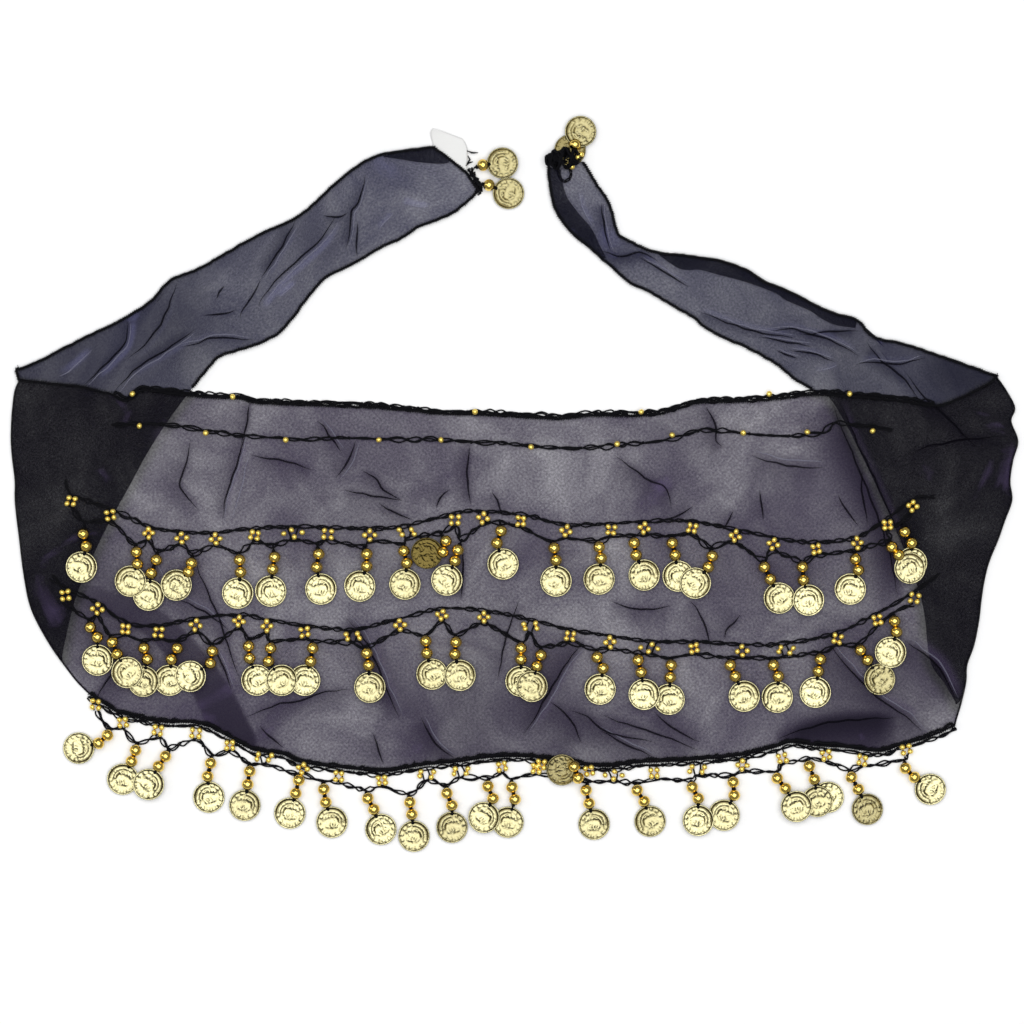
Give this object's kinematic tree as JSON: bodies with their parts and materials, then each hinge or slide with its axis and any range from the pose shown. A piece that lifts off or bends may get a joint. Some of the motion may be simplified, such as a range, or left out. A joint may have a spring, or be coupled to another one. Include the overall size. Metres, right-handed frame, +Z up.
{
  "type": "belly dance hip scarf",
  "caption": "Sheer black chiffon hip scarf laid flat, its tie ends folded back, with crocheted bands that carry round gold beads and hanging gold coins.",
  "frame": {"origin": "middle of the laid-out scarf, on the surface that it lies on", "axes": "+X along the panel from the left tie's fold to the right one's, +Y from the coin hem towards the tie tips, +Z up from the underside"},
  "size_m": [0.6394, 0.4662, 0.0113],
  "materials": {
    "chiffon": "sheer woven polyester, matt",
    "satin_label": "white satin ribbon",
    "crochet_cord": "black crochet thread",
    "gold_plate": "pale gold plate, stamped"
  },
  "bodies": {
    "root": {"panel": "chiffon", "tie_left": "chiffon", "tie_right": "chiffon", "tie_left_flap": "chiffon", "tie_right_lower_flap": "chiffon", "tie_right_upper_flap": "chiffon", "label": "satin_label", "waist_cord": "crochet_cord", "panel_chain": "crochet_cord", "coin_row_1": "gold_plate", "coin_row_2": "gold_plate", "coin_row_hem": "gold_plate", "tie_left_knot": "gold_plate", "tie_right_knot": "gold_plate"}
  },
  "joints": []
}
